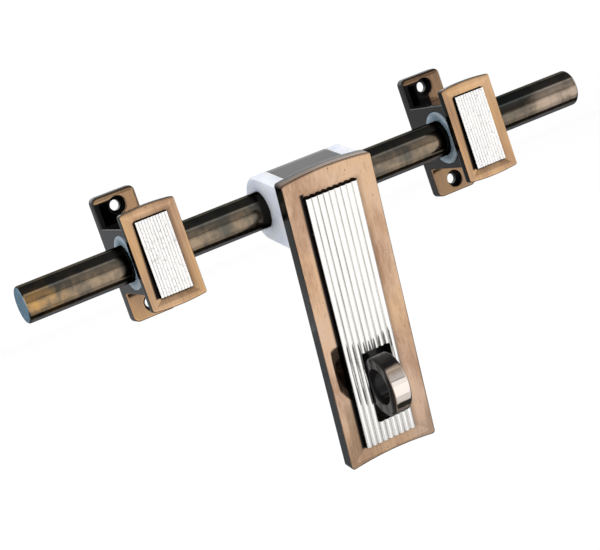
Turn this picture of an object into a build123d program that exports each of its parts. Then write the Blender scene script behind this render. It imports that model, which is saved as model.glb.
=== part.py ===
from build123d import *
from math import radians, sin, cos, tan
import os

os.makedirs("parts", exist_ok=True)

# Aldrop bolt with hasp, two guide brackets and a padlock staple, in millimetres.
# X runs along the rod and Z points up. The door face is the plane Y = 0 and the user stands at -Y.
# The origin is the centre of the four bracket screws on the door face.

# Rod
rod_diameter = 18.0
rod_length = 302.0
rod_left_end = -151.1
rod_height = 30.3  # axis above the door face
rod_end_round = 1.4
running_clearance = 0.05  # radial, rod in its bushes and hasp on the rod

# Guide brackets
bracket_spacing = 172.0
flange_width = 22.2
flange_height = 62.4
flange_thickness = 6.6
flange_corner = 2.8
neck_height = 32.4
foot_cove = 2.4
head_cove = 6.0
cove_lap = 0.8  # the neck's cove runs this far into the frame
frame_width = 27.4
frame_height = 46.6
frame_arch = 0.9  # rise of the arched top and bottom edges
frame_thickness = 4.5
frame_front = 49.2  # above the door face
frame_corner = 1.2
cast_edge = 0.8
core_width = 13.0
core_height = 22.0
core_end_wall = 4.0  # metal left between the core and the bush bore

# Screws through the brackets
screw_spacing = 49.0
screw_hole_diameter = 5.2
screw_head_diameter = 8.4
screw_head_depth = 3.6

# Nylon bushes in the brackets
bush_sleeve_diameter = 22.0
bush_sleeve_length = 8.6
bush_flange_diameter = 26.4
bush_flange_thickness = 1.2
seat_clearance = 0.05  # radial, sleeves and studs in their seats

# Fluted inserts
seat_depth = 2.3
seat_gap = 0.2  # round the insert
frame_slope = 7.5  # degrees that the frames fall back towards their inserts
insert_proud = 1.1
bracket_insert_width = 16.2
bracket_insert_height = 36.2
bracket_slope_side = 3.7  # sloping part of the frame beside the insert
bracket_slope_end = 3.3  # and at both its ends
bracket_flutes = 11
bracket_flute_depth = 0.5
hasp_insert_width = 27.8
hasp_insert_top = 7.2  # above the rod axis, along the hasp
hasp_insert_foot = 8.6  # above the hasp's foot
hasp_slope_side = 6.6
hasp_slope_end = 4.8
hasp_flutes = 9
hasp_flute_depth = 0.9

# Hasp, measured from the rod axis: out from its face and down along its length
hasp_centre = -3.0
hasp_tilt = 12.8
hasp_width = 47.8
hasp_front = 29.2
hasp_depth = 7.8
hasp_top = 17.2
hasp_length = 149.0
hasp_arch = 1.8
hasp_corner = 1.6
hasp_foot_round = 5.2  # at the back of the foot, for a finger
hasp_wall = 3.0
hasp_face = 4.4
hasp_rib = 2.4
hasp_rib_count = 3
collar_width = 32.4
collar_radius = 16.0
collar_cove = 2.0

# Slot in the hasp and the staple that stands in it
slot_left = -5.2
slot_width = 15.7
slot_top_height = 56.1  # above the hasp's foot
slot_length = 37.2
slot_corner = 1.2
slot_wall = 2.6
eye_outer_diameter = 30.0
eye_bore_diameter = 18.0
eye_thickness = 9.4
eye_edge = 1.3
eye_bore_edge = 0.7
eye_height = 41.1  # above the hasp's foot, along the hasp
eye_gap = 0.35  # between the eye bore and the insert's crests
stem_height = 18.0
pad_width = 23.0
pad_length = 42.0
pad_thickness = 3.2
pad_corner = 4.0
pad_gap = 0.3  # hasp back above the pad when closed
tenon_diameter = 10.0
plate_width = 18.0
plate_height = 64.0
plate_thickness = 4.0
plate_screw_spacing = 48.0
plate_screw_head_diameter = 9.6

# Small fixings
stud_diameter = 3.0
stud_reach = 2.0  # past the inside of the hasp face
retainer_diameter = 8.0
retainer_thickness = 0.6
grub_diameter = 5.0
grub_length = 6.2
grub_socket = 2.5  # across flats
grub_socket_depth = 2.6

rod_radius = rod_diameter / 2
running_radius = rod_radius + running_clearance
hasp_back = hasp_front - hasp_depth
hasp_foot = hasp_top - hasp_length
insert_crest = hasp_front + insert_proud

rod_plane = Plane(origin=(0, -rod_height, 0), x_dir=(0, -1, 0), z_dir=(1, 0, 0))
outward = (0, -cos(radians(hasp_tilt)), -sin(radians(hasp_tilt)))
hasp_plane = Plane(origin=(hasp_centre, -rod_height, 0), x_dir=(1, 0, 0), z_dir=outward)
hasp_side = Plane(origin=(hasp_centre, -rod_height, 0), x_dir=outward, z_dir=(1, 0, 0))


def arched_outline(width, top, foot, top_rise, foot_rise):
    """Rectangle whose top and foot edges are shallow arcs."""
    half = width / 2
    with BuildLine() as outline:
        ThreePointArc((-half, top), (0, top + top_rise), (half, top))
        Line((half, top), (half, foot))
        ThreePointArc((half, foot), (0, foot + foot_rise), (-half, foot))
        Line((-half, foot), (-half, top))
    return outline.line


def fluted_section(width, thickness, flutes, flute_depth):
    """Cross-section of a reeded strip: a flat back and a row of rounded reeds."""
    pitch = width / flutes
    valley = thickness - flute_depth
    with BuildLine() as section:
        for reed in range(flutes):
            start = -width / 2 + reed * pitch
            ThreePointArc((start, valley), (start + pitch / 2, thickness), (start + pitch, valley))
        Polyline((width / 2, valley), (width / 2, 0), (-width / 2, 0), (-width / 2, valley))
    return section.line


# Rod with rounded ends
with BuildPart() as bolt_rod:
    with BuildSketch(rod_plane.offset(rod_left_end)):
        Circle(rod_radius)
    extrude(amount=rod_length)
    fillet(bolt_rod.edges().filter_by(GeomType.CIRCLE), rod_end_round)
bolt_rod.part.label = "bolt_rod"
export_step(bolt_rod.part, "parts/bolt_rod.step")

# Guide brackets, each with its fluted insert and a flanged bush from both sides
frame_back = frame_front - frame_thickness
neck_depth = frame_back + cove_lap - flange_thickness
head_thickness = (frame_thickness - cove_lap) / 2
head_height = frame_height - 2 * cast_edge
insert_thickness = seat_depth + insert_proud
bracket_seat_width = bracket_insert_width + 2 * seat_gap
bracket_seat_height = bracket_insert_height + 2 * seat_gap
bracket_fall = bracket_slope_side * tan(radians(frame_slope))
bush_bore_radius = bush_sleeve_diameter / 2 + seat_clearance

for side, centre in (("left", -bracket_spacing / 2), ("right", bracket_spacing / 2)):
    bracket_front = Plane(origin=(centre, -frame_front, 0), x_dir=(1, 0, 0), z_dir=(0, -1, 0))

    with BuildPart() as bracket_body:
        # Flange, neck and head as one profile, with coves where they meet
        with BuildSketch(Plane.YZ.offset(centre - flange_width / 2)) as profile:
            with Locations((-flange_thickness / 2, 0)):
                Rectangle(flange_thickness, flange_height)
            with Locations((-flange_thickness - neck_depth / 2, 0)):
                Rectangle(neck_depth, neck_height)
            with Locations((-flange_thickness - neck_depth - head_thickness / 2, 0)):
                Rectangle(head_thickness, head_height)
            foot_corners = profile.vertices().filter_by_position(Axis.X, -flange_thickness, -flange_thickness)
            fillet(foot_corners.sort_by(Axis.Y)[1:3], foot_cove)
            head_back = -flange_thickness - neck_depth
            head_corners = profile.vertices().filter_by_position(Axis.X, head_back, head_back)
            fillet(head_corners.sort_by(Axis.Y)[1:3], min(head_cove, 0.45 * (head_height - neck_height)))
        extrude(amount=flange_width)
        flange_ends = bracket_body.edges().filter_by(Axis.Y).group_by(Axis.Z)
        fillet(flange_ends[0] + flange_ends[-1], flange_corner)
        side_rims = bracket_body.faces().filter_by(Axis.X).edges()
        fillet(side_rims.filter_by_position(Axis.Y, head_back / 2 - frame_back / 2, -flange_thickness), cast_edge)

        # Arched front frame, wider than the neck
        with BuildSketch(bracket_front) as face:
            half_height = frame_height / 2
            add(arched_outline(frame_width, half_height, -half_height, frame_arch, -frame_arch))
            make_face()
            fillet(face.vertices(), frame_corner)
        extrude(amount=-frame_thickness)
        front_rim = bracket_body.faces().sort_by(Axis.Y)[0].outer_wire().edges()
        fillet(front_rim, cast_edge)

        # Mitred slopes like a picture frame's, then the seat of the insert
        with BuildSketch(bracket_front):
            Rectangle(bracket_seat_width + 2 * bracket_slope_side, bracket_seat_height + 2 * bracket_slope_end)
        with BuildSketch(bracket_front.offset(-bracket_fall)):
            Rectangle(bracket_seat_width, bracket_seat_height)
        loft(ruled=True, mode=Mode.SUBTRACT)
        with BuildSketch(bracket_front):
            Rectangle(bracket_seat_width, bracket_seat_height)
        extrude(amount=-seat_depth, mode=Mode.SUBTRACT)

        # Bore for the bushes, then the core that lightens the casting from behind
        with BuildSketch(rod_plane.offset(centre - flange_width / 2)):
            Circle(bush_bore_radius)
        extrude(amount=flange_width, mode=Mode.SUBTRACT)
        with BuildSketch(Plane.XZ):
            with Locations((centre, 0)):
                RectangleRounded(core_width, core_height, flange_corner)
        extrude(amount=rod_height - bush_bore_radius - core_end_wall, mode=Mode.SUBTRACT)

        # Counterbored screw holes above and below the neck
        with Locations(Plane(origin=(centre, -flange_thickness, 0), x_dir=(1, 0, 0), z_dir=(0, -1, 0))):
            with GridLocations(0, screw_spacing, 1, 2):
                CounterBoreHole(
                    screw_hole_diameter / 2, screw_head_diameter / 2, screw_head_depth, depth=flange_thickness
                )
    bracket_body.part.label = f"{side}_bracket_body"
    export_step(bracket_body.part, f"parts/{side}_bracket_body.step")

    bracket_insert_foot = (centre, -frame_front + seat_depth, -bracket_insert_height / 2)
    with BuildPart() as bracket_insert:
        with BuildSketch(Plane(origin=bracket_insert_foot, x_dir=(-1, 0, 0), z_dir=(0, 0, 1))):
            add(fluted_section(bracket_insert_width, insert_thickness, bracket_flutes, bracket_flute_depth))
            make_face()
        extrude(amount=bracket_insert_height)
    bracket_insert.part.label = f"{side}_bracket_insert"
    export_step(bracket_insert.part, f"parts/{side}_bracket_insert.step")

    for place, direction in (("outer", -1), ("inner", 1)):
        if side == "right":
            direction = -direction
        seat = Plane(
            origin=(centre + direction * flange_width / 2, -rod_height, 0), x_dir=(0, -1, 0), z_dir=(direction, 0, 0)
        )
        with BuildPart() as bush:
            with BuildSketch(seat):
                Circle(bush_flange_diameter / 2)
            extrude(amount=bush_flange_thickness)
            fillet(bush.edges().group_by(Axis.X)[-1 if direction > 0 else 0], bush_flange_thickness / 3)
            with BuildSketch(seat):
                Circle(bush_sleeve_diameter / 2)
            extrude(amount=-bush_sleeve_length)
            with BuildSketch(seat.offset(bush_flange_thickness)):
                Circle(running_radius)
            extrude(amount=-bush_flange_thickness - bush_sleeve_length, mode=Mode.SUBTRACT)
        bush.part.label = f"{side}_bush_{place}"
        export_step(bush.part, f"parts/{side}_bush_{place}.step")

# Hasp casting: a framed plate with a hollow ribbed back and a collar round the rod
insert_foot = hasp_foot + hasp_insert_foot
insert_length = hasp_insert_top - insert_foot
insert_middle = (hasp_insert_top + insert_foot) / 2
hasp_seat_width = hasp_insert_width + 2 * seat_gap
hasp_seat_length = insert_length + 2 * seat_gap
hasp_fall = hasp_slope_side * tan(radians(frame_slope))
slot_centre = (slot_left + slot_width / 2, hasp_foot + slot_top_height - slot_length / 2)
hollow_top = -collar_radius - hasp_wall
hollow_foot = hasp_foot + hasp_foot_round + hasp_wall
hollow_length = hollow_top - hollow_foot
rib_pitch = hollow_length / (hasp_rib_count + 1)
stud_places = [(0, hollow_top - rib_pitch / 2), (0, hollow_top - rib_pitch * 3 / 2)]

with BuildPart() as hasp_body:
    with BuildSketch(hasp_plane.offset(hasp_front)) as plate_face:
        add(arched_outline(hasp_width, hasp_top, hasp_foot, hasp_arch, hasp_arch))
        make_face()
        fillet(plate_face.vertices(), hasp_corner)
    extrude(amount=-hasp_depth)
    with BuildSketch(hasp_side) as plate_side:
        with Locations((hasp_back, -hasp_foot)):
            Rectangle(2 * hasp_depth, 2 * hasp_length, align=(Align.MIN, Align.MAX))
        foot_back = hasp_side.from_local_coords((hasp_back, -hasp_foot))
        fillet(plate_side.vertices().sort_by_distance(foot_back)[0], hasp_foot_round)
    extrude(amount=hasp_width / 2, both=True, mode=Mode.INTERSECT)
    rim = hasp_body.faces().filter_by(hasp_plane).sort_by(Axis.Y)[0].outer_wire().edges()
    fillet(rim, cast_edge)

    # Collar with a round back and flat legs that run forward to the plate
    with BuildSketch(hasp_side):
        Circle(collar_radius)
        with Locations((hasp_back / 2, 0)):
            Rectangle(hasp_back, 2 * collar_radius)
    extrude(amount=collar_width / 2, both=True)
    collar_root = hasp_plane.from_local_coords((0, -collar_radius, hasp_back))
    fillet(hasp_body.edges().filter_by(Axis.X).sort_by_distance(collar_root)[0], collar_cove)

    # Hollow back, leaving cross ribs and the wall round the slot
    with BuildSketch(hasp_plane.offset(hasp_back)):
        with Locations((0, (hollow_top + hollow_foot) / 2)):
            RectangleRounded(hasp_width - 2 * hasp_wall, hollow_length, hasp_wall)
        for rib in range(1, hasp_rib_count + 1):
            with Locations((0, hollow_top - rib * rib_pitch)):
                Rectangle(hasp_width, hasp_rib, mode=Mode.SUBTRACT)
        with Locations(slot_centre):
            RectangleRounded(
                slot_width + 2 * slot_wall, slot_length + 2 * slot_wall, slot_corner + slot_wall, mode=Mode.SUBTRACT
            )
    extrude(amount=hasp_depth - hasp_face, mode=Mode.SUBTRACT)

    # Bore for the rod
    with BuildSketch(hasp_side):
        Circle(running_radius)
    extrude(amount=hasp_width / 2, both=True, mode=Mode.SUBTRACT)

    # Mitred slopes, the seat of the insert, the slot and the holes of the insert's studs
    with BuildSketch(hasp_plane.offset(hasp_front)):
        with Locations((0, insert_middle)):
            Rectangle(hasp_seat_width + 2 * hasp_slope_side, hasp_seat_length + 2 * hasp_slope_end)
    with BuildSketch(hasp_plane.offset(hasp_front - hasp_fall)):
        with Locations((0, insert_middle)):
            Rectangle(hasp_seat_width, hasp_seat_length)
    loft(ruled=True, mode=Mode.SUBTRACT)
    with BuildSketch(hasp_plane.offset(hasp_front)):
        with Locations((0, insert_middle)):
            Rectangle(hasp_seat_width, hasp_seat_length)
    extrude(amount=-seat_depth, mode=Mode.SUBTRACT)
    with BuildSketch(hasp_plane.offset(hasp_front)):
        with Locations(slot_centre):
            RectangleRounded(slot_width, slot_length, slot_corner)
    extrude(amount=-hasp_depth, mode=Mode.SUBTRACT)
    with BuildSketch(hasp_plane.offset(hasp_front)):
        with Locations(stud_places):
            Circle(stud_diameter / 2 + seat_clearance)
    extrude(amount=-hasp_depth, mode=Mode.SUBTRACT)

    # Threaded hole for the grub screw in the back of the collar
    with BuildSketch(hasp_plane.offset(-collar_radius)):
        Circle(grub_diameter / 2 + seat_clearance)
    extrude(amount=collar_radius, mode=Mode.SUBTRACT)
hasp_body.part.label = "hasp_body"
export_step(hasp_body.part, "parts/hasp_body.step")

with BuildPart() as hasp_insert:
    insert_end = Plane(
        origin=hasp_plane.from_local_coords((0, insert_foot, hasp_front - seat_depth)),
        x_dir=(-1, 0, 0),
        z_dir=hasp_plane.y_dir,
    )
    with BuildSketch(insert_end):
        add(fluted_section(hasp_insert_width, insert_thickness, hasp_flutes, hasp_flute_depth))
        make_face()
    extrude(amount=insert_length)
    with BuildSketch(hasp_plane.offset(insert_crest)):
        with Locations(slot_centre):
            RectangleRounded(slot_width, slot_length, slot_corner)
    extrude(amount=-insert_thickness, mode=Mode.SUBTRACT)
    with BuildSketch(hasp_plane.offset(hasp_front - seat_depth)):
        with Locations(stud_places):
            Circle(stud_diameter / 2)
    extrude(amount=-(hasp_face - seat_depth) - stud_reach)
hasp_insert.part.label = "hasp_insert"
export_step(hasp_insert.part, "parts/hasp_insert.step")

with BuildPart() as insert_retainers:
    with BuildSketch(hasp_plane.offset(hasp_front - hasp_face)):
        with Locations(stud_places):
            Circle(retainer_diameter / 2)
            Circle(stud_diameter / 2 + seat_clearance, mode=Mode.SUBTRACT)
    extrude(amount=-retainer_thickness)
insert_retainers.part.label = "insert_retainers"
export_step(insert_retainers.part, "parts/insert_retainers.step")

# Nylon spacers with the collar's profile, flush with the sides of the hasp
spacer_width = (hasp_width - collar_width) / 2
for side, direction in (("left", -1), ("right", 1)):
    with BuildPart() as spacer:
        with BuildSketch(hasp_side.offset(direction * collar_width / 2)):
            Circle(collar_radius)
            with Locations((hasp_back / 2, 0)):
                Rectangle(hasp_back, 2 * collar_radius)
            Circle(running_radius, mode=Mode.SUBTRACT)
        extrude(amount=direction * spacer_width)
        outer_face = spacer.faces().sort_by(Axis.X)[-1 if direction > 0 else 0]
        chamfer(outer_face.outer_wire().edges().filter_by(GeomType.CIRCLE), cast_edge)
    spacer.part.label = f"{side}_hasp_spacer"
    export_step(spacer.part, f"parts/{side}_hasp_spacer.step")

with BuildPart() as grub_screw:
    with BuildSketch(hasp_plane.offset(-running_radius)):
        Circle(grub_diameter / 2)
    extrude(amount=-grub_length)
    with BuildSketch(hasp_plane.offset(-running_radius - grub_length)):
        RegularPolygon(grub_socket / 2, 6, major_radius=False)
    extrude(amount=grub_socket_depth, mode=Mode.SUBTRACT)
grub_screw.part.label = "grub_screw"
export_step(grub_screw.part, "parts/grub_screw.step")

# Staple: an eye on a stem, with a pad that the closed hasp rests on, riveted to a narrow plate
eye_out = insert_crest + eye_bore_diameter / 2 + eye_gap
eye_place = hasp_plane.from_local_coords((0, hasp_foot + eye_height, eye_out))
staple_left = Plane.YZ.offset(hasp_centre - eye_thickness / 2)
stem_length = -eye_place.Y - plate_thickness

with BuildPart() as staple_eye:
    with BuildSketch(staple_left):
        with Locations((eye_place.Y, eye_place.Z)):
            Circle(eye_outer_diameter / 2)
        with Locations((eye_place.Y + stem_length / 2, eye_place.Z)):
            Rectangle(stem_length, stem_height)
    extrude(amount=eye_thickness)
    eye_rims = staple_eye.edges().filter_by(GeomType.CIRCLE)
    fillet(eye_rims, eye_edge)
    with BuildSketch(staple_left):
        with Locations((eye_place.Y, eye_place.Z)):
            Circle(eye_bore_diameter / 2)
    extrude(amount=eye_thickness, mode=Mode.SUBTRACT)
    bore_rims = staple_eye.edges().filter_by(GeomType.CIRCLE).filter_by(
        lambda e: abs(e.radius - eye_bore_diameter / 2) < 0.01
    )
    fillet(bore_rims, eye_bore_edge)
    with BuildSketch(hasp_plane.offset(hasp_back - pad_gap)):
        with Locations(slot_centre):
            RectangleRounded(pad_width, pad_length, pad_corner)
    extrude(amount=-pad_thickness)
    with BuildSketch(Plane.XZ.offset(plate_thickness)):
        with Locations((hasp_centre, eye_place.Z)):
            Circle(tenon_diameter / 2)
    extrude(amount=-plate_thickness)
staple_eye.part.label = "staple_eye"
export_step(staple_eye.part, "parts/staple_eye.step")

with BuildPart() as staple_plate:
    with BuildSketch(Plane.XZ):
        with Locations((hasp_centre, eye_place.Z)):
            RectangleRounded(plate_width, plate_height, plate_width / 2 - cast_edge)
            Circle(tenon_diameter / 2 + seat_clearance, mode=Mode.SUBTRACT)
    extrude(amount=plate_thickness)
    plate_front = Plane(
        origin=(hasp_centre, -plate_thickness, eye_place.Z), x_dir=(1, 0, 0), z_dir=(0, -1, 0)
    )
    with Locations(plate_front):
        with GridLocations(0, plate_screw_spacing, 1, 2):
            CounterSinkHole(screw_hole_diameter / 2, plate_screw_head_diameter / 2)
staple_plate.part.label = "staple_plate"
export_step(staple_plate.part, "parts/staple_plate.step")

print("eye centre above the door", round(-eye_place.Y, 3), "and along Z", round(eye_place.Z, 3))
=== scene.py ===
from math import cos, pi, radians, sin

import bpy
from mathutils import Matrix, Vector

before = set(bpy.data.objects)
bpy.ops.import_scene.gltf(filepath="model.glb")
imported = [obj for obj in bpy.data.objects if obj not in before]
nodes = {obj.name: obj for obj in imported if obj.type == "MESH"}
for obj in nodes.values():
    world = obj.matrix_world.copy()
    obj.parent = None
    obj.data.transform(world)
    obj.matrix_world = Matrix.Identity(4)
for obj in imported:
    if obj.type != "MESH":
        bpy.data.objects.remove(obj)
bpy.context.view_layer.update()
bpy.ops.object.select_all(action="DESELECT")
print("frame loaded:", len(nodes), "pieces")


# Camera, at the photograph's viewing angle

cameraSet = {
    "place": (-0.3356, -0.8483, 0.1033),
    "ahead": (0.35569, 0.92136, -0.15675),
    "right": (0.86257, -0.38820, -0.32447),
    "lens": 111.95,
    "sensor": 36,
    "nearest": 0.02,
}


def addCamera(setup):
    data = bpy.data.cameras.new("camera")
    data.sensor_width = setup["sensor"]
    data.lens = setup["lens"]
    data.clip_start = setup["nearest"]
    camera = bpy.data.objects.new("camera", data)
    bpy.context.collection.objects.link(camera)
    ahead = Vector(setup["ahead"]).normalized()
    right = Vector(setup["right"]).normalized()
    turn = Matrix((right, right.cross(ahead), -ahead)).transposed()
    camera.matrix_world = Matrix.Translation(setup["place"]) @ turn.to_4x4()
    bpy.context.scene.camera = camera


addCamera(cameraSet)
print("camera placed")


# Shader maths

ways = {  # the user stands at -Y and looks at the door
    "right": (1, 0, 0),
    "left": (-1, 0, 0),
    "up": (0, 0, 1),
    "user": (0, -1, 0),
    "door": (0, 1, 0),
}
squarely = (0.5, 0.9)  # from hardly facing a way to facing it


class Value:
    # one output of a shader node, so that maths on it reads as maths
    def __init__(self, finish, socket):
        self.finish = finish
        self.socket = socket

    def maths(self, operation, *others):
        sockets = dict(enumerate((self, *others)))
        return self.finish.add("ShaderNodeMath", {"operation": operation}, sockets)

    def __add__(self, other):
        return self.maths("ADD", other)

    __radd__ = __add__

    def __mul__(self, other):
        return self.maths("MULTIPLY", other)

    __rmul__ = __mul__

    def __sub__(self, other):
        return self.maths("SUBTRACT", other)

    def __rsub__(self, other):
        return self * -1 + other

    def ramp(self, low, high):  # 0 at low, 1 at high, smooth between
        settings = {"interpolation_type": "SMOOTHSTEP"}
        sockets = {"Value": self, "From Min": low, "From Max": high}
        return self.finish.add("ShaderNodeMapRange", settings, sockets)

    def between(self, low, high, soft):  # 1 from low to high, 0 outside
        return self.ramp(low - soft, low + soft) * (1 - self.ramp(high - soft, high + soft))

    def sway(self, amount):  # makes a noise stray as far below nothing as above it
        return (self - 0.5) * amount

    def onTop(self, least, added):
        return least + self * added


class Finish:
    # one material, or the sky, while its nodes are added
    def __init__(self, name, shelf=bpy.data.materials):
        self.material = shelf.new(name)
        self.material.use_nodes = True
        self.tree = self.material.node_tree
        self.tree.nodes.clear()

    def add(self, kind, settings=None, sockets=None, out=0):
        node = self.tree.nodes.new(kind)
        for key, setting in (settings or {}).items():
            setattr(node, key, setting)
        for key, value in (sockets or {}).items():
            socket = node.inputs[key]
            if isinstance(value, Value):
                self.tree.links.new(value.socket, socket)
            elif socket.type == "RGBA":
                socket.default_value = (*value, 1)
            else:
                socket.default_value = value
        return Value(self, node.outputs[out] if node.outputs else None)

    def towards(self, vector, direction):  # how much of the vector points that way
        settings = {"operation": "DOT_PRODUCT"}
        return self.add("ShaderNodeVectorMath", settings, {0: vector, 1: direction}, out="Value")

    def facing(self, direction, worn=None):  # 1 where the surface looks that way, -1 where it looks away
        if worn:
            spaces = {"vector_type": "NORMAL", "convert_from": "WORLD", "convert_to": "OBJECT"}
            normal = self.add("ShaderNodeVectorTransform", spaces, {"Vector": worn})
        else:
            normal = self.add("ShaderNodeTexCoord", out="Normal")
        return self.towards(normal, direction)

    def wornEdges(self, radius):  # the way the surface looks, with its edges rubbed round
        return self.add("ShaderNodeBevel", {"samples": 8}, {"Radius": radius})

    def along(self, direction, start=(0, 0, 0)):  # metres from the start, measured along the direction
        spot = self.add("ShaderNodeTexCoord", out="Object")
        spot = self.add("ShaderNodeVectorMath", {"operation": "SUBTRACT"}, {0: spot, 1: start})
        return self.towards(spot, direction)

    def fromAxis(self, middle):  # metres from a line that runs as the rod does
        out = self.along(ways["door"], middle)
        up = self.along(ways["up"], middle)
        return (out * out + up * up).maths("SQRT")

    def noise(self, scale, turn=(0, 0, 0), detail=2, roughness=0.5):
        spot = self.add("ShaderNodeTexCoord", out="Object")
        spot = self.add("ShaderNodeMapping", {}, {"Vector": spot, "Rotation": turn, "Scale": scale})
        sockets = {"Vector": spot, "Scale": 1, "Detail": detail, "Roughness": roughness}
        return self.add("ShaderNodeTexNoise", {}, sockets)

    def marks(self, setup, turn=(0, 0, 0)):  # the peaks of a noise, as strong as their share
        peaks = self.noise(setup["scale"], turn, setup["detail"]).ramp(*setup["above"])
        return peaks * setup["share"]

    def mix(self, amount, first, second):
        sockets = {0: amount, 6: first, 7: second}  # 6 and 7 are the colours of a Mix node
        return self.add("ShaderNodeMix", {"data_type": "RGBA"}, sockets, out=2)

    def bump(self, height, strength, distance, worn=None):
        sockets = {"Height": height, "Strength": strength, "Distance": distance}
        if worn:
            sockets["Normal"] = worn
        return self.add("ShaderNodeBump", {}, sockets)

    def done(self, **sockets):
        sockets = {key.replace("_", " "): value for key, value in sockets.items()}
        shader = self.add("ShaderNodeBsdfPrincipled", {}, sockets)
        self.add("ShaderNodeOutputMaterial", {}, {"Surface": shader})
        return self.material


# Copper of the castings
# Places are in metres. Two numbers run from none to full, three are low, high and softness
# Roughness is the least and what the pattern adds, bump is strength and distance

haspTilt = radians(12.8)  # the foot of the closed hasp leans in towards the door
hasp = {
    "axis": (-0.003, -0.0303, 0),
    "out": (0, -cos(haspTilt), -sin(haspTilt)),
    "up": (0, -sin(haspTilt), cos(haspTilt)),
    "insertLeft": -0.0169,
}

haspWearAndShade = {  # across from the insert's left edge, up along the hasp and out from the rod
    "strip": {  # painted shade: a black strip on the rim left of the insert
        "across": (-0.0023, 0, 0.0007),
        "up": (-0.1232, 0.01, 0.0006),
    },
    "recessShade": {  # painted shade round the insert
        "across": (0, 0.0297, 0.0014),
        "up": (-0.1243, 0.009, 0.0014),
    },
    "recessShare": 0.3,
    "front": (0.0274, 0.028),
    "topBorder": (0.0244, 0.0248),
    "topShare": 0.35,
    "lower": (-0.04, -0.13),  # painted shade, darker towards the foot
    "lowerShare": 0.15,
    # painted shade on the slope at the foot
    "footSlope": (0.08, 0.16),
    "footShare": 0.12,
    "leftSide": (-0.05, -0.012),  # painted shade: the left side turns blacker towards the top
    "leftShare": 0.85,
}

bracketSpacing = 0.172
bracketWearAndShade = {  # across from the bracket's middle, up from the rod's axis and out from the door
    # painted shade: a black strip left of the insert
    "strip": {
        "across": (-0.0098, -0.007, 0.0006),
        "up": (-0.0181, 0.0181, 0.0005),
    },
    "stripLean": 0.04,
    "neckReflection": {  # painted reflection: the neck mirrored black on the upper flange
        "across": (-0.0118, 0.001, 0.0006),
        "up": (0.01, 0.0282, 0.0004),
    },
    # painted shade round the insert
    "recessShade": {
        "across": (-0.0078, 0.0099, 0.0013),
        "up": (-0.0189, 0.0201, 0.0013),
    },
    "recessShare": (0.4, 0.07),  # how strong the painted shade is on the left bracket and on the right one
    # the buffed flange front; where it reaches into the cove at the neck it is a painted highlight
    "flange": (0.0057, 0.0084, 0.0007),
    "flangeShare": (0.75, 0.5),
    "frameDepth": (0.0444, 0.0448),
    "frameFront": (0.0474, 0.048),
    "leftToRight": (-0.01, 0.01),
}

copper = {
    "pale": (0.7, 0.49, 0.355),  # where the black is brushed away
    "warm": (0.45, 0.27, 0.17),
    "golden": (0.74, 0.45, 0.22),
    "aged": (0.01, 0.009, 0.009),  # left in the sides and recesses
    "back": (0.075, 0.062, 0.052),  # the dull side towards the door
    "backFrom": (0.9, 1.6),
    "grain": (1100, 1100, 16),  # brush lines run down the piece
    "grainWear": 0.2,
    "grainTone": 0.25,
    "clouds": (60, 60, 20),
    "tones": (0.28, 0.62),
    "hues": {"scale": (38, 38, 30), "detail": 3, "above": (0.35, 0.65), "share": 0.45},
    "pits": {"scale": (900, 900, 900), "detail": 1, "above": (0.74, 0.8), "share": 0.8},
    "scratches": {"scale": (700, 700, 22), "detail": 2, "above": (0.6, 0.7), "share": 0.15},
    "rubbed": (0.25, 0.75),  # how far a surface has to face the user
    "wornEdge": 0.001,
    "roughness": (0.05, 0.05),
    "bump": (0.03, 0.0002),
}


def patch(across, up, setup):  # 1 inside a rectangle with soft edges
    return across.between(*setup["across"]) * up.between(*setup["up"])


def acrossBracket(finish):  # metres to the right of the middle of the bracket that the surface is on
    x = finish.along(ways["right"])
    return x + x.maths("LESS_THAN", 0) * bracketSpacing - bracketSpacing / 2


def bySide(right, shares):  # the left bracket's share or the right one's
    onLeft, onRight = shares
    return right * (onRight - onLeft) + onLeft


# Each mask function gives where the copper shows, and where the surface is metal, copper or black

def haspMasks(finish, front):
    out = finish.along(hasp["out"], hasp["axis"])
    height = finish.along(hasp["up"], hasp["axis"])
    across = finish.along(ways["right"], (hasp["insertLeft"], 0, 0))
    upwards = finish.facing(hasp["up"])
    # painted shade: a black strip left of the insert
    strip = patch(across, height, haspWearAndShade["strip"])
    # painted shade round the insert
    recessShade = patch(across, height, haspWearAndShade["recessShade"]) * haspWearAndShade["recessShare"]
    # painted shade towards the foot and on the slope there
    footShade = height.ramp(*haspWearAndShade["lower"]) * haspWearAndShade["lowerShare"]
    footShade = footShade + upwards.ramp(*haspWearAndShade["footSlope"]) * haspWearAndShade["footShare"]
    # copper where the front is rubbed, less the painted shade of the strip, the foot and the recess
    rubbed = front * out.ramp(*haspWearAndShade["front"]) * (1 - strip) * (1 - footShade) * (1 - recessShade)
    top = upwards.ramp(*squarely) * out.ramp(*haspWearAndShade["topBorder"])
    # painted shade: only the left side is made black metal, more towards the top
    left = finish.facing(ways["left"]).ramp(*squarely) * height.ramp(*haspWearAndShade["leftSide"])
    return rubbed + top * haspWearAndShade["topShare"], front + top + left * haspWearAndShade["leftShare"]


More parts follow.
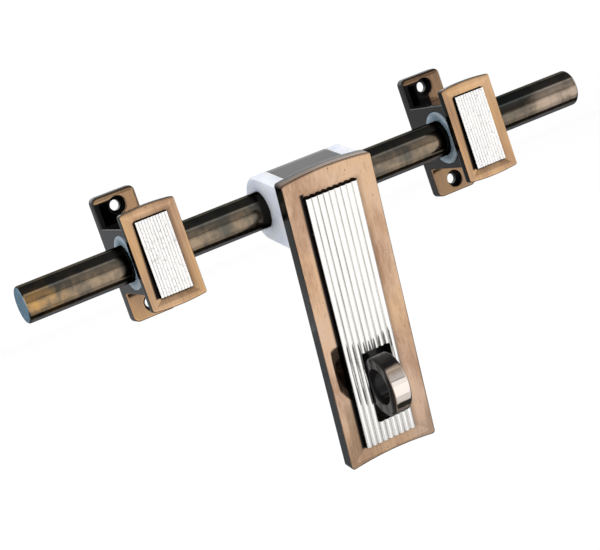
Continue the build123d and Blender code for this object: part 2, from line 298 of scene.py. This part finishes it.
def bracketMasks(finish, front):
    out = finish.along(ways["user"])
    height = finish.along(ways["up"])
    across = acrossBracket(finish)
    right = finish.along(ways["right"]).ramp(*bracketWearAndShade["leftToRight"])  # 1 on the right bracket
    # painted shade: a black strip left of the insert
    strip = patch(across - height * bracketWearAndShade["stripLean"], height, bracketWearAndShade["strip"])
    # painted reflection of the neck, black on the upper flange
    neckReflection = patch(across, height, bracketWearAndShade["neckReflection"])
    # painted shade round the insert, stronger on the left bracket
    recessShade = patch(across, height, bracketWearAndShade["recessShade"]) * bySide(right, bracketWearAndShade["recessShare"])
    # buffed flange, with a painted highlight in the cove at the neck
    flange = out.between(*bracketWearAndShade["flange"]) * (1 - neckReflection)
    flange = flange * bySide(right, bracketWearAndShade["flangeShare"])
    frameFront = out.ramp(*bracketWearAndShade["frameFront"]) * (1 - strip) * (1 - recessShade)
    frameDepth = out.ramp(*bracketWearAndShade["frameDepth"])
    return front * (frameFront + flange), front.maths("MAXIMUM", frameDepth)


def plateMasks(finish, front):
    return front, front


def agedCopper(name, outward, lean, masks, gold=0.0, gloss=0.5):
    finish = Finish(name)
    worn = finish.wornEdges(copper["wornEdge"])
    turn = (lean, 0, 0)
    lines = finish.noise(copper["grain"], turn, detail=3)
    clouds = finish.noise(copper["clouds"], turn, detail=4)
    front = finish.facing(outward, worn) + lines.sway(copper["grainWear"])
    # where the copper shows: real wear, with the masks' painted shade, highlight and reflection
    buffed, metal = masks(finish, front.ramp(*copper["rubbed"]))
    buffed = buffed * (1 - finish.marks(copper["pits"])) * (1 - finish.marks(copper["scratches"], turn))
    tone = (lines.sway(copper["grainTone"]) + clouds).ramp(*copper["tones"])
    pale = finish.mix(finish.marks(copper["hues"], turn) + gold, copper["pale"], copper["golden"])
    behind = (clouds - finish.facing(outward)).ramp(*copper["backFrom"])
    aged = finish.mix(behind, copper["aged"], copper["back"])
    brushed = finish.mix(tone, copper["warm"], pale)
    return finish.done(
        Base_Color=finish.mix(buffed, aged, brushed),
        Metallic=metal,
        Roughness=lines.onTop(*copper["roughness"]),
        Normal=finish.bump(lines, *copper["bump"], worn),
        Specular_IOR_Level=gloss,
    )


# Bronzed rod

rod = {
    "dark": (0.13, 0.12, 0.1),
    "light": (0.38, 0.28, 0.19),
    "tones": (0.28, 0.72),
    "rings": (500, 50, 50),
    "ringTone": 0.12,
    "stains": (160, 12, 12),  # faint bands round the rod, where it was handled
    "stainTone": 0.5,
    "clouds": (90, 110, 110),
    "wander": 0.004,  # how far the borders between the tones stray
    "golden": (0.66, 0.36, 0.09),  # near the left end
    "goldenFrom": (-0.12, -0.15),
    "goldenShare": 0.8,
    "dull": (0.084, 0.117, 0.006),  # right of the right bracket
    "dullShare": 0.5,
    "black": (0.015, 0.014, 0.012),
    "shadeFrom": (0.084, 0.09),  # the upper half is blacker from there
    "shadeFacing": (0.2, 0.36),
    "shadeShare": 0.75,
    "shadeFade": (0.12, 0.145),
    "shadeLoss": 0.45,
    "rubbed": (0.58, 0.46, 0.37),  # towards the right end
    "rubbedFrom": (0.116, 0.136),
    "rubbedShare": 0.75,
    "cool": (0.075, 0.09, 0.09),  # painted dark reflection along the top
    "coolWay": (0, -0.2, 0.98),
    "coolFacing": (0.4, 0.85),
    "coolShare": 0.75,
    # painted reflection: the underside is lighter grey
    "under": (0.5, 0.5, 0.53),
    "underWay": (0, -0.17, -0.985),
    "underFacing": (0.86, 0.94),
    "stops": (-0.0983, -0.0269, 0.0737),  # left faces of the nylon; painted shade makes the rod black beside them
    "beforeStop": (-0.0075, -0.0035),
    "afterStop": (0.002, 0.006),
    "cutEnd": (0.16, 0.3, 0.41),
    "endFacing": (0.6, 0.95),
    "endDull": 0.4,
    "tint": (0.35, 0.34, 0.32),
    "roughness": (0.1, 0.06),
    "bump": (0.02, 0.0002),
}


def bronzedRod():
    finish = Finish("bronzed rod")
    rings = finish.noise(rod["rings"])
    stains = finish.noise(rod["stains"], detail=3)
    clouds = finish.noise(rod["clouds"], detail=4, roughness=0.65)
    tone = clouds + stains.sway(rod["stainTone"]) + rings.sway(rod["ringTone"])
    tone = tone.ramp(*rod["tones"])
    spot = finish.along(ways["right"]) + clouds.sway(rod["wander"])
    upwards = finish.facing(rod["coolWay"])
    # painted reflection: the underside is lighter grey
    under = finish.facing(rod["underWay"]).ramp(*rod["underFacing"])
    shade = rod["shadeShare"] - spot.ramp(*rod["shadeFade"]) * rod["shadeLoss"]
    shade = spot.ramp(*rod["shadeFrom"]) * upwards.ramp(*rod["shadeFacing"]) * shade
    body = finish.mix(tone, rod["dark"], rod["light"])
    body = finish.mix(spot.ramp(*rod["goldenFrom"]) * rod["goldenShare"] * tone, body, rod["golden"])
    body = finish.mix(spot.between(*rod["dull"]) * rod["dullShare"], body, rod["dark"])
    body = finish.mix(shade, body, rod["black"])
    body = finish.mix(spot.ramp(*rod["rubbedFrom"]) * rod["rubbedShare"] * tone, body, rod["rubbed"])
    # painted dark reflection along the top
    body = finish.mix(upwards.ramp(*rod["coolFacing"]) * rod["coolShare"], body, rod["cool"])
    body = finish.mix(under, body, rod["under"])
    for stop in rod["stops"]:
        # painted shade: the rod is black beside each nylon face
        past = spot - stop
        near = past.ramp(*rod["beforeStop"]) * (1 - past.ramp(*rod["afterStop"]))
        body = finish.mix(near, body, rod["black"])
    end = finish.facing(ways["left"]).ramp(*rod["endFacing"])
    return finish.done(
        Base_Color=finish.mix(end, body, rod["cutEnd"]),
        Metallic=1 - end * rod["endDull"],
        Roughness=rings.onTop(*rod["roughness"]),
        Normal=finish.bump(rings, *rod["bump"]),
        Specular_Tint=rod["tint"],
    )


# Fluted inserts

fluteSide = (0.008, 0.007, 0.007)

brightStrip = {  # on the hasp
    "left": hasp["insertLeft"],
    "reed": 0.0278 / 9,  # width of one
    "line": (0.88, 1),  # how narrow the line between two reeds is
    "metal": (0.97, 0.955, 0.93),
    "valley": (0.2, 0.19, 0.18),  # painted shade in the valleys between the reeds
    "valleyShade": {"scale": (160, 160, 22), "detail": 2, "above": (0.35, 0.7), "share": 0.5},
    "leastValleyShade": 0.5,
    "fade": (-0.013, 0.003),  # the painted shade lines are fainter to the right
    "fadeShare": 0.35,
    "facing": (0.05, 0.3),
    "metallic": 0.9,
    "drawn": (2200, 2200, 25),
    "roughness": (0.03, 0.03),
    "bump": (0.03, 0.0001),
}

frostedStrip = {  # on the brackets
    "left": -0.0081,
    "reed": 0.0162 / 11,
    "line": (0.65, 1),
    "metal": (1, 0.985, 0.97),
    "speck": (0.42, 0.4, 0.39),
    "specks": {"scale": (1300, 1300, 600), "detail": 1, "above": (0.6, 0.72), "share": 0.6},
    # painted shade in the valleys between the reeds, of uneven strength
    "valleyShade": {"scale": (200, 200, 60), "detail": 2, "above": (0.3, 0.7), "share": 0.45},
    "leastValleyShade": 0.2,
    "facing": (0.05, 0.25),
    "metallic": 0.8,
    "grit": (1800, 1800, 1200),
    "roughness": (0.14, 0.16),
    "bump": (0.12, 0.0003),
}


def reedLines(across, setup):  # 1 in the valleys between reeds, 0 on their crests
    turns = (across - setup["left"]) * (2 * pi / setup["reed"])
    return turns.maths("COSINE").ramp(*setup["line"])


def brightFlutes(setup):
    finish = Finish("bright flutes")
    drawn = finish.noise(setup["drawn"], (-haspTilt, 0, 0))
    across = finish.along(ways["right"])
    # painted shade in the valleys, of uneven strength
    valleyShade = setup["leastValleyShade"] + finish.marks(setup["valleyShade"])
    faint = 1 - across.ramp(*setup["fade"]) * setup["fadeShare"]
    lines = reedLines(across, setup) * valleyShade * faint
    front = finish.facing(hasp["out"]).ramp(*setup["facing"])
    silver = finish.mix(lines, setup["metal"], setup["valley"])
    return finish.done(
        Base_Color=finish.mix(front, fluteSide, silver),
        Metallic=front * setup["metallic"],
        Roughness=drawn.onTop(*setup["roughness"]),
        Normal=finish.bump(drawn, *setup["bump"]),
    )


def frostedFlutes(setup):
    finish = Finish("frosted flutes")
    grit = finish.noise(setup["grit"], detail=3, roughness=0.7)
    valleyShade = setup["leastValleyShade"] + finish.marks(setup["valleyShade"])
    lines = reedLines(acrossBracket(finish), setup) * valleyShade
    # painted shade lines in the valleys, together with the real specks
    specksAndShade = lines.maths("MAXIMUM", finish.marks(setup["specks"]))
    front = finish.facing(ways["user"]).ramp(*setup["facing"])
    silver = finish.mix(specksAndShade, setup["metal"], setup["speck"])
    return finish.done(
        Base_Color=finish.mix(front, fluteSide, silver),
        Metallic=front * setup["metallic"],
        Roughness=grit.onTop(*setup["roughness"]),
        Normal=finish.bump(grit, *setup["bump"]),
    )


# Nylon bushes and spacers

nylon = {
    "spacer": {"colour": (0.76, 0.78, 0.85), "deep": (0.58, 0.64, 0.77)},
    "bush": {"colour": (0.32, 0.38, 0.44), "deep": (0.06, 0.12, 0.16)},  # the dark bore shows through, and painted shade as under the overhanging frame
    "clouds": (110, 110, 110),
    "cloudTones": (0.4, 0.75),
    "cloudShare": 0.6,
    "rodTones": (0.0098, 0.0124),  # deeper close to the rod
    "rodShare": 0.5,
    "mould": (700, 700, 700),
    "roughness": (0.32, 0.12),
    "bump": (0.08, 0.0002),
    "glow": 0.35,
    "glowReach": (0.004, 0.005, 0.007),
    "gloss": 0.4,
}


def milkyNylon(name, setup):
    finish = Finish(name)
    clouds = finish.noise(nylon["clouds"], detail=3, roughness=0.6)
    mould = finish.noise(nylon["mould"])
    byTheRod = 1 - finish.fromAxis(hasp["axis"]).ramp(*nylon["rodTones"])
    depth = clouds.ramp(*nylon["cloudTones"]) * nylon["cloudShare"] + byTheRod * nylon["rodShare"]
    return finish.done(
        Base_Color=finish.mix(depth, setup["colour"], setup["deep"]),
        Roughness=mould.onTop(*nylon["roughness"]),
        Normal=finish.bump(mould, *nylon["bump"]),
        Subsurface_Weight=nylon["glow"],
        Subsurface_Radius=nylon["glowReach"],
        Subsurface_Scale=1.0,
        Specular_IOR_Level=nylon["gloss"],
    )


# Padlock eye

eye = {
    "buffed": (0.96, 0.86, 0.79),
    "buffedFacing": (0.5, 0.76),
    "warm": (0.6, 0.46, 0.36),
    "paleFacing": (0.7, 0.93),
    "middle": (-0.003, -0.04887, -0.09723),
    "bore": (0.0097, 0.0108),  # the bore and the pad behind the ring stay dark
    "rim": (0.0151, 0.0156),
    "topFacing": (0.1, 0.9),  # painted shade: the top is darker than the front
    "topShare": 0.28,
    "drawn": (50, 700, 700),
    "clouds": (260, 260, 260),
    "cloudWear": 0.14,
    "roughness": (0.07, 0.05),
    "bump": (0.05, 0.0004),
    "gloss": 0.25,
}


def agedEye():
    finish = Finish("aged eye")
    lines = finish.noise(eye["drawn"])
    clouds = finish.noise(eye["clouds"], detail=3)
    reach = finish.fromAxis(eye["middle"])
    ring = reach.ramp(*eye["bore"]) * (1 - reach.ramp(*eye["rim"]))
    front = finish.facing(ways["user"]) + clouds.sway(eye["cloudWear"])
    # painted shade on the top of the ring
    front = front - finish.facing(ways["up"]).ramp(*eye["topFacing"]) * eye["topShare"]
    buffed = front.ramp(*eye["buffedFacing"]) * ring
    tone = finish.mix(front.ramp(*eye["paleFacing"]), eye["warm"], eye["buffed"])
    return finish.done(
        Base_Color=finish.mix(buffed, copper["aged"], tone),
        Metallic=buffed,
        Roughness=lines.onTop(*eye["roughness"]),
        Normal=finish.bump(clouds, *eye["bump"]),
        Specular_IOR_Level=eye["gloss"],
    )


# Retainers and grub screw

zinc = {
    "dark": (0.42, 0.42, 0.41),
    "light": (0.6, 0.6, 0.58),
    "grain": (900, 900, 900),
    "tones": (0.3, 0.7),
    "roughness": (0.3, 0.15),
}


def zincSteel():
    finish = Finish("zinc steel")
    grain = finish.noise(zinc["grain"], detail=3)
    tone = finish.mix(grain.ramp(*zinc["tones"]), zinc["dark"], zinc["light"])
    return finish.done(Base_Color=tone, Metallic=1.0, Roughness=grain.onTop(*zinc["roughness"]))


bracketCopper = agedCopper("bracket copper", ways["user"], 0, bracketMasks, gold=0.6, gloss=0.4)
haspCopper = agedCopper("hasp copper", hasp["out"], -haspTilt, haspMasks)
plateCopper = agedCopper("plate copper", ways["user"], 0, plateMasks)
frosted = frostedFlutes(frostedStrip)
bushNylon = milkyNylon("bush nylon", nylon["bush"])
spacerNylon = milkyNylon("spacer nylon", nylon["spacer"])
steel = zincSteel()
finishes = {
    "bolt_rod": bronzedRod(),
    "left_bracket_body": bracketCopper,
    "right_bracket_body": bracketCopper,
    "left_bracket_insert": frosted,
    "right_bracket_insert": frosted,
    "left_bush_outer": bushNylon,
    "left_bush_inner": bushNylon,
    "right_bush_outer": bushNylon,
    "right_bush_inner": bushNylon,
    "hasp_body": haspCopper,
    "hasp_insert": brightFlutes(brightStrip),
    "left_hasp_spacer": spacerNylon,
    "right_hasp_spacer": spacerNylon,
    "insert_retainers": steel,
    "grub_screw": steel,
    "staple_eye": agedEye(),
    "staple_plate": plateCopper,
}
for name, material in finishes.items():
    for place in nodes[name].material_slots:
        place.material = material
print("finishes on", len(finishes), "pieces")


# Studio

studio = {
    "floor": -0.32,  # height
    "halfWidth": 5,
    "front": -6,
    "back": 2.1,  # where the floor starts to curve up
    "curve": 0.8,
    "curveSteps": 16,
    "wall": 2.5,
    "floorColour": (0.92, 0.92, 0.92),
    "white": 1.04,  # the cove as the camera and reflections see it
    "whiteShare": 0.93,  # the rest of what they see is the lit floor, with its shadows
    "sky": 0.3,  # how strongly it lights; it looks white
}


def lookedAt(finish):  # 1 for what the camera sees, directly, in metal or through glass
    seen = finish.add("ShaderNodeLightPath", out="Is Camera Ray")
    glossy = finish.add("ShaderNodeLightPath", out="Is Glossy Ray")
    through = finish.add("ShaderNodeLightPath", out="Is Transmission Ray")
    return seen.maths("MAXIMUM", glossy).maths("MAXIMUM", through)


def paleSky(setup):
    finish = Finish("pale sky", bpy.data.worlds)
    dim = finish.add("ShaderNodeBackground", {}, {"Color": (1, 1, 1), "Strength": setup["sky"]})
    white = finish.add("ShaderNodeBackground", {}, {"Color": (1, 1, 1), "Strength": 1})
    both = finish.add("ShaderNodeMixShader", {}, {0: lookedAt(finish), 1: dim, 2: white})
    finish.add("ShaderNodeOutputWorld", {}, {"Surface": both})
    bpy.context.scene.world = finish.material


def paleCove(setup):
    z = setup["floor"]
    back = setup["back"]
    bpy.ops.mesh.primitive_plane_add(size=2, location=(0, 0, z))
    cove = bpy.context.active_object
    cove.name = "cove"
    cove.scale = (setup["halfWidth"], (back - setup["front"]) / 2, 1)
    cove.location.y = (back + setup["front"]) / 2
    bpy.ops.object.transform_apply(location=True, scale=True)
    bpy.ops.object.mode_set(mode="EDIT")
    bpy.ops.mesh.select_all(action="DESELECT")
    bpy.ops.object.mode_set(mode="OBJECT")
    for edge in cove.data.edges:  # only the back edge
        edge.select = all(cove.data.vertices[v].co.y > 0 for v in edge.vertices)
    bpy.ops.object.mode_set(mode="EDIT")
    bpy.ops.mesh.select_mode(type="EDGE")
    centre = (0, back, z + setup["curve"])
    bpy.ops.mesh.spin(steps=setup["curveSteps"], angle=pi / 2, center=centre, axis=(1, 0, 0))
    bpy.ops.mesh.extrude_region_move(TRANSFORM_OT_translate={"value": (0, 0, setup["wall"])})
    bpy.ops.object.mode_set(mode="OBJECT")
    bpy.ops.object.shade_smooth()
    finish = Finish("pale cove")
    matt = finish.add("ShaderNodeBsdfDiffuse", {}, {"Color": setup["floorColour"]})
    white = finish.add("ShaderNodeEmission", {}, {"Color": (1, 1, 1), "Strength": setup["white"]})
    share = lookedAt(finish) * setup["whiteShare"]
    both = finish.add("ShaderNodeMixShader", {}, {0: share, 1: matt, 2: white})
    finish.add("ShaderNodeOutputMaterial", {}, {"Surface": both})
    cove.data.materials.append(finish.material)


lampAim = (0, 0, -0.05)
softboxes = {  # they light the nylon and the floor; metal mirrors the cards and the cove instead
    "front": {"place": (0.1, -1.5, 0.3), "size": (1.6, 1.2), "power": 20, "colour": (1, 1, 1)},
    "top": {"place": (0, 0.1, 1.4), "size": (1.6, 1.2), "power": 12, "colour": (1, 1, 1)},
    "left": {"place": (-1.5, 0.1, 0.2), "size": (1, 1), "power": 15, "colour": (0.93, 0.96, 1)},
    "right": {"place": (1.5, -0.2, 0.2), "size": (1, 1), "power": 6, "colour": (1, 1, 1)},
}


def addSoftbox(name, setup):
    data = bpy.data.lights.new(name, "AREA")
    data.shape = "RECTANGLE"
    data.size, data.size_y = setup["size"]
    data.energy = setup["power"]
    data.color = setup["colour"]
    lamp = bpy.data.objects.new(name, data)
    bpy.context.collection.objects.link(lamp)
    lamp.location = setup["place"]
    lamp.rotation_euler = (Vector(lampAim) - lamp.location).to_track_quat("-Z", "Y").to_euler()
    lamp.visible_glossy = False


cardThickness = 0.002
cardCloth = {"scale": (3, 3, 3), "shade": 0.8}  # faint patches, as in cloth
cards = {  # only reflections see them: middle, size and tone
    "topFlag": {"middle": (0, 0.07, 0.6), "size": (3, 0.86, 0), "tone": (0.13, 0.13, 0.13)},
    "underFlag": {"middle": (0, -0.03, -0.315), "size": (2, 0.16, 0), "tone": (0.03, 0.03, 0.03)},
    "nearFloorCard": {"middle": (0, -0.185, -0.315), "size": (2, 0.15, 0), "tone": (0.73, 0.73, 0.73)},
    "frontCard": {"middle": (0, -1.6, -0.06), "size": (5, 0, 0.52), "tone": (1, 1, 1)},
    "horizonFlag": {"middle": (0, -1.6, 0.24), "size": (5, 0, 0.08), "tone": (0.1, 0.09, 0.08)},
    "highCard": {"middle": (0, -1.6, 1.09), "size": (5, 0, 1.6), "tone": (0.55, 0.55, 0.55)},
    "backCard": {"middle": (0, 1.2, -0.03), "size": (4, 0, 0.56), "tone": (0.39, 0.4, 0.41)},
    "backFloorCard": {"middle": (0, 0.62, -0.312), "size": (4, 1.14, 0), "tone": (0.27, 0.29, 0.31)},
}


def addCard(name, setup):
    bpy.ops.mesh.primitive_cube_add(size=1, location=setup["middle"])
    card = bpy.context.active_object
    card.name = name
    card.scale = [max(side, cardThickness) for side in setup["size"]]
    bpy.ops.object.transform_apply(location=True, scale=True)
    finish = Finish(name)
    cloth = finish.noise(cardCloth["scale"])
    shaded = [share * cardCloth["shade"] for share in setup["tone"]]
    tone = finish.mix(cloth, setup["tone"], shaded)
    glow = finish.add("ShaderNodeEmission", {}, {"Color": tone, "Strength": 1})
    finish.add("ShaderNodeOutputMaterial", {}, {"Surface": glow})
    card.data.materials.append(finish.material)
    card.visible_camera = False
    card.visible_diffuse = False
    card.visible_shadow = False
    card.visible_transmission = False


paleCove(studio)
paleSky(studio)
for name, setup in softboxes.items():
    addSoftbox(name, setup)
for name, setup in cards.items():
    addCard(name, setup)
bpy.context.scene.view_settings.view_transform = "Standard"
print("studio lit")
